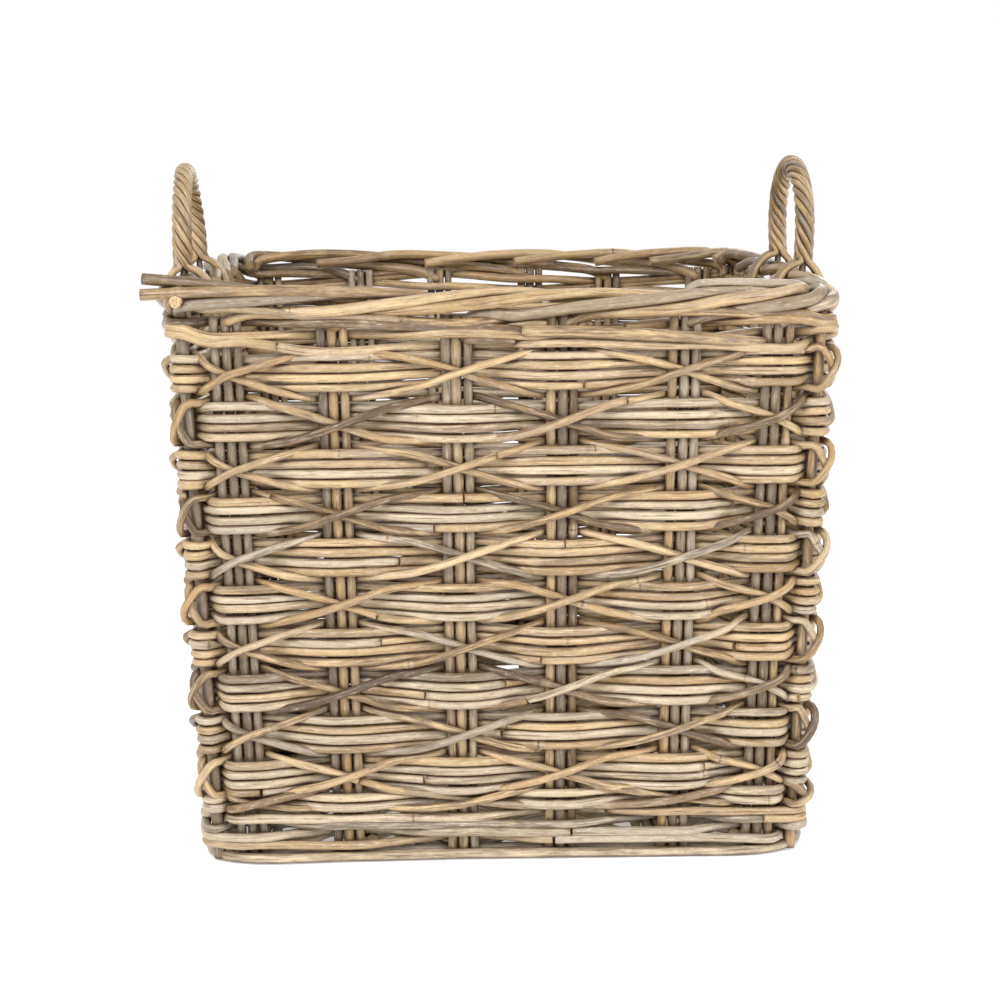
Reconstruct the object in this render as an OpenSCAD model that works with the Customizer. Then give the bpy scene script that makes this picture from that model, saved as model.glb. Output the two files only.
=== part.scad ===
// Wicker log basket: a square basket of round rattan canes, woven round groups of upright
// stakes, with a rolled border and two fixed twisted handles. Millimetres, Z up, front at -Y,
// origin at the centre of the underside.

/* [Basket] */
// Outside width across the rolled border, the same front to back
rim_w = 500; // [460:10:540]
// Outside width across the foot
foot_w = 462; // [430:2:480]
// Height of the top of the border above the ground
rim_h = 438; // [430:1:445]
// How far each corner post stands in from the corner of the stake lines
post_in = 2; // [0:0.5:4]
// Bulge of the left and right walls at the middle of the rim, under the handles
side_belly = 11; // [8:1:13]
// Bulge of the front and back walls at the middle of the rim
front_belly = 3; // [0:1:6]

/* [Stakes] */
// Spacing of the stake groups at the rim
pitch_top = 80.8; // [78:0.2:83]
// Spacing of the stake groups at the foot
pitch_foot = 77; // [75:0.2:79]
// Diameter of the middle stake of each group
stake_d = 8; // [7:0.1:8.4]
// Diameter of the two side stakes of each group
side_stake_d = 7; // [6:0.1:7.4]
// Distance between neighbouring stakes in a group
stake_gap = 8.2; // [8:0.1:8.6]
// Diameter of the four corner posts
post_d = 9; // [8:0.1:10]

/* [Weave] */
// Height of the middle of the top woven row
first_row_z = 373; // [371:0.5:375]
// Distance between rows
row_pitch = 33.9; // [33:0.1:34.5]
// Diameter of the canes in the rows
weaver_d = 6.6; // [6:0.1:6.7]
// Diameter of the pair of canes that cross over each row
cross_d = 5.6; // [5:0.1:6]

/* [Border] */
// Diameter of the canes of the rolled border
border_d = 9; // [8:0.1:9.5]
// Diameter of the canes of the wales above and below the rows
wale_d = 6.6; // [6:0.1:6.8]

/* [Handles] */
// Height of the top of the handles above the ground
handle_h = 525; // [515:1:535]
// Half the distance between the two legs of a handle
handle_half = 61; // [56:0.5:64]
// Diameter of the bow that each handle is twisted round
bow_d = 5.2; // [4.8:0.1:5.6]
// Diameter of each of the six strands of the twist
strand_d = 5; // [4.5:0.1:5]
// Length of handle that one full turn of the twist takes
twist_pitch = 58; // [52:1:66]

/* [Base] */
// Diameter of the sticks that run front to back under the base weave
base_stick_d = 8; // [7:0.1:8.5]

/* [Hidden] */

cane_colour = [0.79, 0.69, 0.54];
stake_colour = [0.62, 0.54, 0.44];
cross_colour = [0.66, 0.56, 0.42];
border_colour = [0.72, 0.61, 0.46];

GROUPS = 6;                 // stake groups on a wall
STEPS = GROUPS + 1;         // places on a wall: its groups and the post at its end
ROWS = 11;                  // woven rows; the last is only two canes high
BAND_CANES = 4;             // canes in a full row, and in a band of the base
WALE_STROKE = 4;            // a wale cane passes before three places and behind the fourth
border_reach = 14;          // from the stake line to the outside of the border
wall_top = rim_w / 2 - border_reach;
wall_foot = foot_w / 2 - stake_d / 2 - weaver_d;
over = (stake_d + weaver_d) / 2;        // from the stake line to a cane lying on a stake
post_over = (post_d + weaver_d) / 2;    // the same round a corner post
flat_half = stake_gap + side_stake_d / 2 + 1;   // a cane runs flat this far each side of a group
cane_gap = 0.15;                                // between neighbouring canes of a band
plan_half = 0.46;       // half the width of a level cane in plan, as a share of its diameter
swept_half = 0.42;      // half the side of a swept cane, as a share of its diameter
strand_half = 0.43;     // the same for a strand of a handle
SIDES = 4;              // facets round a swept cane

// Stake line: half the width of the wall at a height, and the spacing of its groups there.
function half(z) = wall_foot + (wall_top - wall_foot) * z / rim_h;
function pitch(z) = pitch_foot + (pitch_top - pitch_foot) * z / rim_h;
function group_at(k, z) = (k - (GROUPS + 1) / 2) * pitch(z);
function belly(side, z, along) =
    (side % 2 == 1 ? side_belly : front_belly) * z / rim_h * (1 - pow(along / half(z), 2));

// Quarter turns, from the front wall round to the wall called side (0 front, 1 right ...).
function turned(side, v) =
    side == 0 ? v : side == 1 ? [-v[1], v[0]] : side == 2 ? [-v[0], -v[1]] : [v[1], -v[0]];

// A sample of a path in plan is [point, outward normal].
function wall_sample(side, z, along, out) =
    [turned(side, [along, -half(z) - belly(side, z, along) - out]), turned(side, [0, -1])];
function corner_sample(side, z, radius, angle) =
    let (n = [sin(angle), -cos(angle)], w = half(z) - post_in)
    [turned(side, [w, -w] + radius * n), turned(side, n)];

// ---- rows: bands of canes that pass before one group and behind the next ----

// Is the cane before the stakes there? It is behind them once in every stroke.
function before(place, row, stroke = 2) = (place + row) % stroke != 0;

last_row_z = 48;
function row_z(row) = row == ROWS ? last_row_z : first_row_z - (row - 1) * row_pitch;
function row_canes(row) = row == ROWS ? 2 : BAND_CANES;

function band_wall(side, z, row, stroke) = [
    for (k = [1 : GROUPS])
        let (out = before(side * STEPS + k, row, stroke) ? over : -over)
            for (dt = [-flat_half, flat_half])
                wall_sample(side, z, group_at(k, z) + dt, out)
];
function band_corner(side, z, row, stroke) =
    before((side + 1) * STEPS, row, stroke)
    ? [for (angle = [0, 45, 90]) corner_sample(side, z, post_over, angle)]
    : [corner_sample(side, z, -post_over, 45)];
function band_path(z, row, stroke = 2) = [
    for (side = [0 : 3])
        for (s = concat(band_wall(side, z, row, stroke), band_corner(side, z, row, stroke))) s
];

// A closed cane that keeps its height, as a true extrusion of its wavy outline.
module level_ring(path, z, d) {
    n = len(path);
    translate([0, 0, z - d / 2])
        linear_extrude(height = d)
            polygon(
                points = concat(
                    [for (s = path) s[0] + s[1] * d * plan_half],
                    [for (s = path) s[0] - s[1] * d * plan_half]),
                paths = [[for (i = [0 : n - 1]) i], [for (i = [0 : n - 1]) n + i]]);
}

module weave_row(row) {
    n = row_canes(row);
    color(cane_colour)
        for (i = [0 : n - 1]) {
            z = row_z(row) + (i - (n - 1) / 2) * (weaver_d + cane_gap);
            level_ring(band_path(z, row), z, weaver_d);
        }
}

// ---- swept canes: four-sided tubes along a list of [x, y, z, outward normal] ----

function ring_points(s, d) =
    let (r = d * swept_half)
    [for (k = [0 : SIDES - 1])
        let (a = 45 + 90 * k)
        [s[0] + s[3][0] * r * sqrt(2) * cos(a), s[1] + s[3][1] * r * sqrt(2) * cos(a),
         s[2] + r * sqrt(2) * sin(a)]];

module swept(path, d, closed) {
    n = len(path);
    last = closed ? n - 1 : n - 2;
    walls = [for (i = [0 : last]) for (k = [0 : SIDES - 1])
        let (a = i * SIDES, b = ((i + 1) % n) * SIDES, k2 = (k + 1) % SIDES)
        for (face = [[a + k, a + k2, b + k2], [a + k, b + k2, b + k]]) face];
    ends = closed ? [] : [
        [for (k = [SIDES - 1 : -1 : 0]) k],
        [for (k = [0 : SIDES - 1]) (n - 1) * SIDES + k]];
    polyhedron(points = [for (s = path) for (p = ring_points(s, d)) p], faces = concat(walls, ends));
}

// ---- cross canes: two per row, crossing before the stakes where the band is behind ----

// From the middle of a row to the gap above it or below it. The gaps next to the wales and
// next to the last, low row are narrower.
top_lift = 16.9;
low_lift = 16.3;
last_lift = 7.2;
function lift_up(row) = row == 1 ? top_lift : (row_z(row - 1) - row_z(row)) / 2;
function lift_down(row) =
    row == ROWS ? last_lift : row == ROWS - 1 ? low_lift : (row_z(row) - row_z(row + 1)) / 2;
function half_turns(place, row) = floor((place + row) / 2);
// +1 where cane c is above the band, -1 where it is below, at the places where it is behind
function level_at(place, row, c) = (half_turns(place, row) + c) % 2 == 0 ? 1 : -1;
// share of the way from the lower gap to the upper one, x counted in places
function climb(place, row, c, dx) =
    before(place, row)
    ? level_at(place, row, c) * cos(90 * dx)
    : level_at(place, row, c) * sin(90 * dx);
function cross_z(place, row, c, dx) =
    let (s = climb(place, row, c, dx))
    row_z(row) + s * (s > 0 ? lift_up(row) : lift_down(row));
// Before the stakes the rising cane lies on the falling one.
cross_lap = cross_d * 0.95;
function cross_out(place, row, c) =
    before(place, row) ? -over
    : level_at(place, row, c) > 0 ? over + cross_lap : over - (weaver_d - cross_d) / 2;

function cross_wall(side, row, c) = [
    for (k = [1 : GROUPS])
        for (dt = [-flat_half, flat_half])
            let (place = side * STEPS + k, z = cross_z(place, row, c, dt / pitch(row_z(row))),
                 s = wall_sample(side, z, group_at(k, z) + dt, cross_out(place, row, c)))
            [s[0][0], s[0][1], z, s[1]]
];
loop_out = 2.5;         // a cross cane stands this far off the corner post it bends round
loop_degrees = 300;     // bend round a post in which it would climb like from place to place
function cross_corner(side, row, c) =
    let (place = (side + 1) * STEPS, front = !before(place, row),
         rise = level_at(place, row, c) > 0,
         rad = front ? post_over + loop_out + (rise ? cross_d : 0) : -post_over)
    [for (angle = front ? [0, 45, 90] : [45])
        let (dx = (angle - 45) / loop_degrees, z = cross_z(place, row, c, dx),
             s = corner_sample(side, z, rad, angle))
        [s[0][0], s[0][1], z, s[1]]];

module cross_pair(row) {
    color(cross_colour)
        for (c = [0, 1])
            swept([for (side = [0 : 3])
                for (s = concat(cross_wall(side, row, c), cross_corner(side, row, c))) s],
                cross_d, true);
}

// ---- uprights ----

module rod(a, b, d) {
    v = b - a;
    translate(a)
        rotate([0, acos(v[2] / norm(v)), atan2(v[1], v[0])])
            cylinder(h = norm(v), d = d, $fn = 32);
}

stake_z0 = 3;                   // the stakes end just above the ground
stake_z1 = rim_h - 24;          // and go up into the rolled border

module stakes(side) {
    color(stake_colour)
        for (k = [1 : GROUPS]) for (j = [-1 : 1]) {
            a = wall_sample(side, stake_z0, group_at(k, stake_z0) + j * stake_gap, 0)[0];
            b = wall_sample(side, stake_z1, group_at(k, stake_z1) + j * stake_gap, 0)[0];
            rod([a[0], a[1], stake_z0], [b[0], b[1], stake_z1], j == 0 ? stake_d : side_stake_d);
        }
}

module corner_post(side) {
    a = half(stake_z0) - post_in;
    b = half(stake_z1) - post_in;
    p = turned(side, [a, -a]);
    q = turned(side, [b, -b]);
    color(stake_colour) rod([p[0], p[1], stake_z0], [q[0], q[1], stake_z1], post_d);
}

// ---- wales: single canes, each passing behind the stakes one place after the one above ----

WALE_CANES = 4;

module wale(lowest, spacing) {
    color(cane_colour)
        for (i = [0 : WALE_CANES - 1])
            let (z = lowest + i * spacing)
                level_ring(band_path(z, i + 1, WALE_STROKE), z, wale_d);
}

upper_wale_z = 393.5;
upper_wale_pitch = 6.8;
lower_wale_z = 15;
lower_wale_pitch = 7;

// ---- rolled border: each stake laid down to the right, out, over the top and in ----

border_bend = 30;       // radius of the border round the corners of the stake line
// [places past its stake, outward, below the top of the border]
border_line = [[0.15, 1, 20], [0.55, 6, 17.5], [1, 9.5, 14.5], [1.5, 9, 9.4],
    [2, 4.5, 5.2], [2.5, -3.5, 5], [3, -9.5, 9.5], [3.5, -11, 17]];

function border_sample(place, out, down) =
    let (z = rim_h - down, side = floor(place / STEPS), k = place - side * STEPS,
         near = k < 1 ? k : STEPS - k, w = half(z))
    near < 1
    ? let (r = border_bend, angle = k < 1 ? 45 + 45 * k : 45 - 45 * (STEPS - k),
           s = k < 1 ? side - 1 : side, n = [sin(angle), -cos(angle)],
           p = [w - r, -w + r] + (r + out) * n)
      [turned((s + 4) % 4, p), turned((s + 4) % 4, n), z]
    : let (s = wall_sample(side % 4, z, group_at(k, z), out)) [s[0], s[1], z];

module border_side(side) {
    color(border_colour)
        for (k = [0 : GROUPS])
            swept([for (b = border_line)
                let (s = border_sample((side * STEPS + k + b[0]) % (4 * STEPS), b[1], b[2]))
                [s[0][0], s[0][1], s[2], s[1]]], border_d, false);
}

// ---- foot border and base ----

foot_d = 9;
foot_bend = 24;         // radius of the foot border round the corners of the stake line

module foot_border() {
    color(border_colour)
        for (ring = [0, 1])
            level_ring(foot_path(ring == 0 ? over : -over), foot_d / 2, foot_d);
}
function foot_path(out) = [
    for (side = [0 : 3])
        for (s = concat(
            [for (k = [1 : GROUPS]) wall_sample(side, 0, group_at(k, 0), out)],
            [for (angle = [15, 45, 75])
                let (n = [sin(angle), -cos(angle)], w = half(0) - foot_bend)
                [turned(side, [w, -w] + (foot_bend + out) * n), turned(side, n)]])) s
];

base_half = wall_foot - over - foot_d / 2 - 1;      // the base fits inside the foot border
base_stick_z = 13;
base_bands = 14;
base_rows = BAND_CANES * base_bands;
base_row_pitch = 2 * base_half / base_rows;
base_gap = 0.3;                         // between neighbouring canes or sticks of the base
base_d = base_row_pitch - base_gap;
base_over = (base_stick_d + base_d) / 2;
base_flat_half = 14;                    // a cane runs flat this far each side of a stick group
base_squeeze = 0.96;                    // the sticks stand a little closer than the stakes
function base_group(k) = group_at(k, 0) * base_squeeze;

module base_sticks() {
    color(stake_colour)
        for (k = [1 : GROUPS]) for (j = [-1 : 1]) {
            x = base_group(k) + j * (base_stick_d + base_gap);
            rod([x, -base_half, base_stick_z], [x, base_half, base_stick_z], base_stick_d);
        }
}

module base_weave() {
    color(cane_colour)
        for (i = [0 : base_rows - 1]) {
            odd = floor(i / BAND_CANES) % 2;
            line = concat([[-base_half, 0]],
                [for (k = [1 : GROUPS]) for (dt = [-base_flat_half, base_flat_half])
                    [base_group(k) + dt, ((k + odd) % 2 == 0 ? 1 : -1) * base_over]],
                [[base_half, 0]]);
            n = len(line);
            translate([0, -base_half + (i + 0.5) * base_row_pitch + base_d / 2, base_stick_z])
                rotate([90, 0, 0])
                    linear_extrude(height = base_d)
                        polygon(concat(
                            [for (p = line) [p[0], p[1] - base_d * plan_half]],
                            [for (j = [n - 1 : -1 : 0]) [line[j][0], line[j][1] + base_d * plan_half]]));
        }
}

// ---- handles: a bow set into the wall, with six strands twisted round it ----

STRANDS = 6;
bow_foot_z = 330;           // each leg of the bow runs down inside the weave to here
rope_r = (bow_d + strand_d) / 2 + 0.3;
arch_r = handle_half;
arch_top = handle_h - rope_r - strand_d / 2;
arch_z = arch_top - arch_r;
rope_foot_z = rim_h + 6;    // the twist ends just above the border
leg = arch_z - rope_foot_z;
arch_len = PI * arch_r;
rope_len = 2 * leg + arch_len;
handle_out = 3;             // the bow stands this far outside the stake line

// Centre of the rope at a distance along it: [y, z, direction in the (y, z) plane]
function rope_at(t) =
    t < leg ? [-arch_r, rope_foot_z + t, [0, 1]]
    : t > leg + arch_len ? [arch_r, arch_z - (t - leg - arch_len), [0, -1]]
    : let (a = 180 - 180 * (t - leg) / arch_len)
      [arch_r * cos(a), arch_z + arch_r * sin(a), [sin(a), -cos(a)]];

function bow_x(z) = half(z) + belly(1, z, arch_r) + handle_out;
handle_x = bow_x(rim_h);
bow_knuckle = 0.6;      // the bow's cane is a little thicker where each leg meets the arch

function strand_point(i, t) =
    let (c = rope_at(t), a = 360 / STRANDS * i + 360 * (t - rope_len / 2) / twist_pitch,
         across = [-c[2][1], c[2][0]])
    [handle_x + rope_r * cos(a), c[0] + across[0] * rope_r * sin(a), c[1] + across[1] * rope_r * sin(a)];

// Below the rope each strand leaves the twist and goes down outside or inside the border:
// [outward, upward] from the foot of the rope.
outer_tail = [[13.5, -14], [14.5, -24], [8.5, -38]];
inner_tail = [[-19, -14], [-22.5, -26], [-16, -42]];
tail_fan = 2.1;             // the strands spread this much wider along the wall
function strand_tail(i, t, dir) =
    let (p = strand_point(i, t), foot_y = dir * arch_r)
    [for (q = p[0] >= handle_x ? outer_tail : inner_tail)
        [handle_x + q[0], foot_y + (p[1] - foot_y) * tail_fan, rope_foot_z + q[1]]];

strand_rings = 30;
function strand_path(i) = concat(
    [for (k = [2 : -1 : 0]) strand_tail(i, 0, -1)[k]],
    [for (j = [0 : strand_rings]) strand_point(i, rope_len * j / strand_rings)],
    strand_tail(i, rope_len, 1));

// A four-sided tube along points in a plane that may climb and turn over the top.
function unit(v) = v / norm(v);
function tangent(path, i) = unit(path[min(i + 1, len(path) - 1)] - path[max(i - 1, 0)]);
module rope_strand(path, d) {
    n = len(path);
    r = d * strand_half;
    frames = [for (i = [0 : n - 1])
        let (t = tangent(path, i), u = unit(cross(t, [1, 0, 0])), v = cross(t, u))
        [for (k = [0 : SIDES - 1]) path[i] + r * (cos(45 + 90 * k) * u + sin(45 + 90 * k) * v)]];
    walls = [for (i = [0 : n - 2]) for (k = [0 : SIDES - 1])
        let (a = i * SIDES, b = a + SIDES, k2 = (k + 1) % SIDES)
        for (face = [[a + k, b + k2, a + k2], [a + k, b + k, b + k2]]) face];
    polyhedron(
        points = [for (f = frames) for (p = f) p],
        faces = concat(walls, [[0, 1, 2, 3], [for (k = [SIDES - 1 : -1 : 0]) (n - 1) * SIDES + k]]));
}

module handle_twist(mirror_x) {
    color(border_colour)
        rotate([0, 0, mirror_x ? 180 : 0])
            for (i = [0 : STRANDS - 1]) rope_strand(strand_path(i), strand_d);
}

module handle_bow(mirror_x) {
    color(stake_colour)
        rotate([0, 0, mirror_x ? 180 : 0]) {
            translate([handle_x, 0, arch_z]) {
                rotate([0, -90, 0]) rotate([0, 0, -90])
                    rotate_extrude(angle = 180, $fn = 64) translate([arch_r, 0]) circle(d = bow_d, $fn = 32);
            }
            for (dir = [-1, 1]) {
                rod([bow_x(bow_foot_z), dir * arch_r, bow_foot_z], [handle_x, dir * arch_r, arch_z], bow_d);
                translate([handle_x, dir * arch_r, arch_z]) sphere(d = bow_d + bow_knuckle, $fn = 32);
            }
        }
}

stakes(0);  // stakes_front
stakes(1);  // stakes_right
stakes(2);  // stakes_back
stakes(3);  // stakes_left
corner_post(0);  // corner_post_front_right
corner_post(1);  // corner_post_back_right
corner_post(2);  // corner_post_back_left
corner_post(3);  // corner_post_front_left
weave_row(1);  // weave_row_01
weave_row(2);  // weave_row_02
weave_row(3);  // weave_row_03
weave_row(4);  // weave_row_04
weave_row(5);  // weave_row_05
weave_row(6);  // weave_row_06
weave_row(7);  // weave_row_07
weave_row(8);  // weave_row_08
weave_row(9);  // weave_row_09
weave_row(10);  // weave_row_10
weave_row(11);  // weave_row_11
cross_pair(1);  // cross_pair_01
cross_pair(2);  // cross_pair_02
cross_pair(3);  // cross_pair_03
cross_pair(4);  // cross_pair_04
cross_pair(5);  // cross_pair_05
cross_pair(6);  // cross_pair_06
cross_pair(7);  // cross_pair_07
cross_pair(8);  // cross_pair_08
cross_pair(9);  // cross_pair_09
cross_pair(10);  // cross_pair_10
cross_pair(11);  // cross_pair_11
wale(upper_wale_z, upper_wale_pitch);  // upper_wale
wale(lower_wale_z, lower_wale_pitch);  // lower_wale
border_side(0);  // rim_border_front
border_side(1);  // rim_border_right
border_side(2);  // rim_border_back
border_side(3);  // rim_border_left
foot_border();
base_sticks();
base_weave();
handle_bow(true);  // handle_left_bow
handle_bow(false);  // handle_right_bow
handle_twist(true);  // handle_left_twist
handle_twist(false);  // handle_right_twist
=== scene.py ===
"""Looks of the wicker log basket: every cane is swept along its own woven path."""

import math

import bpy
import numpy as np
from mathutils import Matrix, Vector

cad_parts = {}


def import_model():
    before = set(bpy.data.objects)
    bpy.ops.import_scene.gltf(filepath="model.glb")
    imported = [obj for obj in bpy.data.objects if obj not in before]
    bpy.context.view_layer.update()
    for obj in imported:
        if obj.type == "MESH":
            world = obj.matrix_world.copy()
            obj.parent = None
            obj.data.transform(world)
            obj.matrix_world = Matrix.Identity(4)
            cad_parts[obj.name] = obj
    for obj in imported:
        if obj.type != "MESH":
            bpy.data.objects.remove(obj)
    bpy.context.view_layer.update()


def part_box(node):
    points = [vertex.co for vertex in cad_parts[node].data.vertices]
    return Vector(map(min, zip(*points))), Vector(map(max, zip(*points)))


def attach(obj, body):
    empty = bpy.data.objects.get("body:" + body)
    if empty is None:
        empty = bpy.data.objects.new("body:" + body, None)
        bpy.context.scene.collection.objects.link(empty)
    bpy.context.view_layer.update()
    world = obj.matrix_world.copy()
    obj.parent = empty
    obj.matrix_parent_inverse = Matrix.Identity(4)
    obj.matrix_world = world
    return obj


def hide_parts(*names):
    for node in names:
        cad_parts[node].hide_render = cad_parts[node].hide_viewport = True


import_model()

MM = 0.001
SIDE_NAMES = ("front", "right", "back", "left")
CORNER_NAMES = ("front_right", "back_right", "back_left", "front_left")    # at the end of each wall

# ---- the basket's layout, as the CAD has it ----

GROUPS = 6                      # stake groups on a wall
STEPS = GROUPS + 1              # places on a wall: its groups and the corner post at its end
PLACES = 4 * STEPS              # places right round the basket
ROWS = 11
ROW_CANES = 4
STAKE_GAP = 8.2 * MM            # between neighbouring stakes in a group
PITCH_FOOT = 77 * MM            # spacing of the groups at the ground
POST_IN = 2 * MM                # the corner posts stand in from the corner of the stake lines
STAKE_R, SIDE_STAKE_R, POST_R = 4 * MM, 3.5 * MM, 4.5 * MM
WEAVER_R, CROSS_R, BORDER_R, FOOT_R = 3.45 * MM, 2.95 * MM, 4.6 * MM, 4.2 * MM
OVER = STAKE_R + WEAVER_R       # from the stake line to a cane lying on a stake
POST_OVER = POST_R + WEAVER_R
FLAT_HALF = STAKE_GAP + SIDE_STAKE_R + 1 * MM   # a cane runs flat this far each side of a group


def box(node):
    return [np.array(corner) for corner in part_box(node)]


RIM_Z = box("rim_border_front")[1][2]
HANDLE_Z = box("handle_left_twist")[1][2]
post_low, post_high = box("corner_post_front_right")
Z0, Z1 = post_low[2], post_high[2]
HALF0 = post_low[0] + POST_R + POST_IN
HALF1 = post_high[0] - POST_R + POST_IN
PITCH1 = (-box("stakes_front")[0][0] - STAKE_GAP - SIDE_STAKE_R) / (GROUPS / 2 - 0.5)
# bulge of each wall at the middle of the rim, beyond the stake line between its corners
FRONT_BELLY = (-box("stakes_front")[0][1] - STAKE_R - HALF1) * RIM_Z / Z1
SIDE_BELLY = (box("stakes_right")[1][0] - STAKE_R - HALF1) * RIM_Z / Z1
# the groups of the front wall aren't evenly spaced, and the other walls wander a little too
GROUP_DRIFT = np.array([
    (0, -4, 6, 3, 12, 0),
    (2, -3, 4, -2, 3, -1),
    (-1, 4, -3, 2, -4, 1),
    (1, 3, -4, 3, -2, 2),
]) * MM


def half(z):
    """Half the width of the basket between its corners at a height, on the stake line."""
    return HALF0 + (HALF1 - HALF0) * (z - Z0) / (Z1 - Z0)


def pitch(z):
    """Spacing of the stake groups at a height."""
    return PITCH_FOOT + (PITCH1 - PITCH_FOOT) * z / Z1


def group_at(side, k, z):
    """Place of group k along a wall; k may lie between two groups."""
    drift = np.interp(k, range(1, GROUPS + 1), GROUP_DRIFT[side % 4])
    return (k - (GROUPS + 1) / 2) * pitch(z) + drift


def turned(side, x, y):
    """A point of the front wall, turned by quarter turns to another wall."""
    return ((x, y), (-y, x), (-x, -y), (y, -x))[side % 4]


def wall_point(side, along, out, z):
    """A point on a wall: along it from its middle, and outward from its stakes."""
    belly = (SIDE_BELLY if side % 2 else FRONT_BELLY) * z / RIM_Z * (1 - (along / half(z)) ** 2)
    return (*turned(side, along, -half(z) - belly - out), z)


def corner_point(side, radius, angle, z):
    """A point at a distance from the post at the end of a wall; angle 0 faces out of that wall."""
    w = half(z) - POST_IN
    a = math.radians(angle)
    return (*turned(side, w + radius * math.sin(a), -w - radius * math.cos(a)), z)


# ---- smooth paths ----

PATH_STEP = 2.5 * MM            # between the points of a path
UNEVEN = 0.2                    # the cuts of a ring of cane move by up to this share of a length
BUTT_GAP = 0.5 * MM             # between two canes that meet end to end


def blend(u, t0, t1, a, b):
    """a where u is t0 and b where u is t1, mixed in between."""
    return ((t1 - u) * a + (u - t0) * b) / (t1 - t0)


def smooth(points, closed=False):
    """A centripetal Catmull-Rom curve through the points."""
    p = np.array(points, float)
    if closed:
        p = np.vstack([p[-1:], p, p[:2]])
    else:
        p = np.vstack([2 * p[0] - p[1], p, 2 * p[-1] - p[-2]])
    gaps = np.sqrt(np.maximum(np.linalg.norm(np.diff(p, axis=0), axis=1), 1e-9))
    out = []
    for i in range(1, len(p) - 2):
        t = np.cumsum([0, gaps[i - 1], gaps[i], gaps[i + 1]])
        n = max(2, int(np.linalg.norm(p[i + 1] - p[i]) / PATH_STEP) + 1)
        u = np.linspace(t[1], t[2], n, endpoint=False)[:, None]
        a = [blend(u, t[j], t[j + 1], p[i - 1 + j], p[i + j]) for j in range(3)]
        b = [blend(u, t[j], t[j + 2], a[j], a[j + 1]) for j in range(2)]
        out.append(blend(u, t[1], t[2], b[0], b[1]))
    out.append(p[-2:-1])
    return np.vstack(out)


def lengths(path):
    """Distance along a path to each of its points."""
    return np.concatenate([[0], np.cumsum(np.linalg.norm(np.diff(path, axis=0), axis=1))])


def sample(path, s, at):
    """Points of a path at the given distances along it."""
    return np.stack([np.interp(at, s, path[:, i]) for i in range(3)], axis=1)


def cut_ring(path, rng, pieces):
    """Cuts a closed path into canes that meet end to end."""
    s = lengths(path)
    total = s[-1]
    start = rng.uniform(0, total)
    cuts = start + (np.arange(pieces) + rng.uniform(-UNEVEN, UNEVEN, pieces)) * total / pieces
    for a, b in zip(cuts, np.append(cuts[1:], cuts[0] + total)):
        yield sample(path, s, np.arange(a, b - BUTT_GAP, PATH_STEP) % total)


# ---- colours (sRGB) and kinds of cane ----

PALETTE = {
    "straw": (183, 156, 113),
    "pale": (187, 171, 143),
    "silver": (169, 156, 137),
    "tan": (167, 137, 92),
    "brown": (120, 96, 65),
    "grey": (127, 113, 94),
    "dark": (76, 58, 43),
}
# shares of the colours in each kind of cane; the lowest canes are greyer
WEAVER_MIX = {"straw": 50, "pale": 24, "silver": 10, "tan": 12, "brown": 2, "grey": 2}
LOW_MIX = {"straw": 32, "pale": 32, "silver": 22, "tan": 6, "grey": 8}
CROSS_MIX = {"straw": 42, "pale": 10, "silver": 10, "tan": 24, "brown": 8, "grey": 4, "dark": 2}
STAKE_MIX = {"silver": 20, "grey": 38, "brown": 12, "tan": 14, "straw": 16}
BORDER_MIX = {"straw": 29, "pale": 3, "silver": 5, "grey": 9, "tan": 36, "brown": 18}
HANDLE_MIX = {"straw": 64, "tan": 26, "grey": 10}
# a cane's thickness is its kind's, times a random factor between these
WEAVER_SIZE, CROSS_SIZE, STAKE_SIZE = (0.94, 1.08), (0.93, 1.08), (0.93, 1.04)
WALE_SIZE, BORDER_SIZE, FOOT_SIZE = (1.0, 1.12), (0.88, 1.04), (0.9, 1.0)
HANDLE_SIZE = (0.94, 1.04)
# how much bark a cane still has, drawn at random from these
WEAVER_BARK = (0, 0, 0, 0.15, 0.45)
CROSS_BARK = (0, 0.1, 0.3, 0.6)
STAKE_BARK = (0, 0.15, 0.5)
WALE_BARK = (0, 0.2, 0.6)
FOOT_BARK = (0, 0.4, 0.8)
HANDLE_BARK = (0, 0.2)


def linear(rgb):
    """sRGB to linear colour."""
    c = np.array(rgb, float) / 255
    return np.where(c <= 0.04045, c / 12.92, ((c + 0.055) / 1.055) ** 2.4)


def pick(rng, mix):
    """The name of a colour, drawn by its share in the mix."""
    shares = np.array(list(mix.values()), float)
    return list(mix)[rng.choice(len(mix), p=shares / shares.sum())]


# ---- the cane builder ----

JOINT_RINGS = np.array([-9, -5, -3, -1.6, -0.7, 0.0, 0.7, 1.6, 3, 5, 9]) * MM
JOINT_FADE = 14 * MM            # a joint's marks reach this far along the cane
FIRST_JOINT, LAST_JOINT = 0.02, 0.012   # joints keep this far from a cane's start and end (m)
FAR_JOINT = -1.0                # m
END_CLEAR = 0.002               # a joint's rings keep this far from a cane's ends (m)
CLOSEST_RINGS = 0.0003          # m
JOINT_STRENGTH = (0.9, 1.3)     # shape of the spread of the joints' strengths between 0 and 1
SWELL, SWELL_MORE = 0.03, 0.05  # a joint swells by this share of the radius, and more if it is strong
SWELL_REACH = 2.4 * MM
GROOVE, GROOVE_HALF = 0.05, 0.3 * MM
WAVES = (23, 61, 140, 310)      # of a cane's thickness along it, radians per metre
WAVER = 0.035                   # how far those waves and its ovalness change the radius
ANY_PHASE = (0, 6.3)
STEEP = 0.9                     # an upright cane's first direction across it is found from the x axis
FRONT_FADE = 0.4                # canes get stouter from the front wall back, over this share of HALF0
OTHER_SHARE, OTHER_SPREAD, OTHER_MOST = 0.15, 0.2, 0.8      # of a second colour in a joint's length
TONE_SPREAD = 0.07
GRAIN_SPAN = 60                 # the grain starts at a random place on a cane this long (m)


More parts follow.
